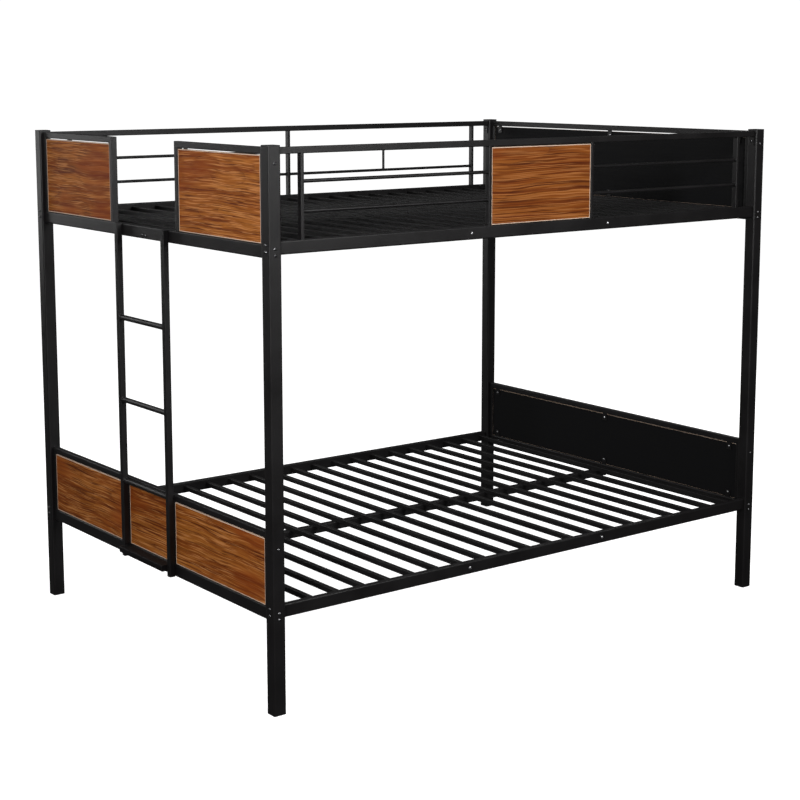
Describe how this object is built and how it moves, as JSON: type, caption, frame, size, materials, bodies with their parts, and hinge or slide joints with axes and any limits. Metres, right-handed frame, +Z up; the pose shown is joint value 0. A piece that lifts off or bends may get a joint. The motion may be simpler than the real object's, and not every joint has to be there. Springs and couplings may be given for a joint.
{
  "type": "bunk bed with ladder",
  "caption": "Full-over-full bunk bed of black square steel tube with wooden end and guard panels, slatted decks and a straight ladder at the foot end.",
  "frame": {"origin": "on the floor, under the centre of the whole part's bounding box", "axes": "+X along the bed from the ladder (foot) end to the head end, +Y from the front guard with the wooden panel to the back guard, +Z up"},
  "size_m": [2.0202, 1.4286, 1.595],
  "materials": {
    "black_steel": "satin black powder coat on square steel tube",
    "deck_steel": "satin black powder coat on the slats and centre rails",
    "wood_panel": "satin reddish-brown wood with a horizontal grain, black on the inner face",
    "hardware_steel": "plated domed screws and bolts",
    "black_plastic": "black moulded plugs and feet"
  },
  "bodies": {
    "root": {"foot_front_post": "black_steel", "foot_back_post": "black_steel", "head_front_post": "black_steel", "head_back_post": "black_steel", "post_caps": "black_plastic", "post_feet": "black_plastic", "upper_front_side_rail": "black_steel", "upper_back_side_rail": "black_steel", "lower_front_side_rail": "black_steel", "lower_back_side_rail": "black_steel", "upper_foot_end_rail": "black_steel", "upper_head_end_rail": "black_steel", "lower_foot_end_rail": "black_steel", "lower_head_end_rail": "black_steel", "rail_end_plates": "black_steel", "upper_centre_rail": "deck_steel", "lower_centre_rail": "deck_steel", "centre_rail_flanges": "deck_steel", "upper_slats": "deck_steel", "lower_slats": "deck_steel", "slat_pegs": "deck_steel", "foot_front_frame_top": "black_steel", "foot_back_frame_top": "black_steel", "foot_upper_frame_uprights": "black_steel", "foot_lower_frame_top": "black_steel", "foot_lower_frame_uprights": "black_steel", "head_upper_frame_top": "black_steel", "head_lower_frame_top": "black_steel", "head_frame_uprights": "black_steel", "foot_upper_front_panel": "wood_panel", "foot_upper_back_panel": "wood_panel", "foot_lower_front_panel": "wood_panel", "foot_lower_middle_panel": "wood_panel", "foot_lower_back_panel": "wood_panel", "head_upper_panel": "wood_panel", "head_lower_panel": "wood_panel", "panel_tabs": "black_steel", "front_guard_top_rail": "black_steel", "front_guard_uprights": "black_steel", "front_guard_rods": "black_steel", "front_guard_panel": "wood_panel", "back_guard_top_rail": "black_steel", "back_guard_uprights": "black_steel", "back_guard_rods": "black_steel", "back_guard_spindles": "black_steel", "guard_end_plates": "black_steel", "ladder_front_stile": "black_steel", "ladder_back_stile": "black_steel", "ladder_rungs": "black_steel", "ladder_bottom_step": "black_steel", "ladder_step_ends": "black_steel", "ladder_plugs": "black_plastic", "side_rail_bolts": "hardware_steel", "end_rail_bolts": "hardware_steel", "frame_bolts": "hardware_steel", "guard_bolts": "hardware_steel", "centre_rail_bolts": "hardware_steel", "ladder_bolts": "hardware_steel", "slat_screws": "hardware_steel", "panel_screws": "hardware_steel"}
  },
  "joints": []
}
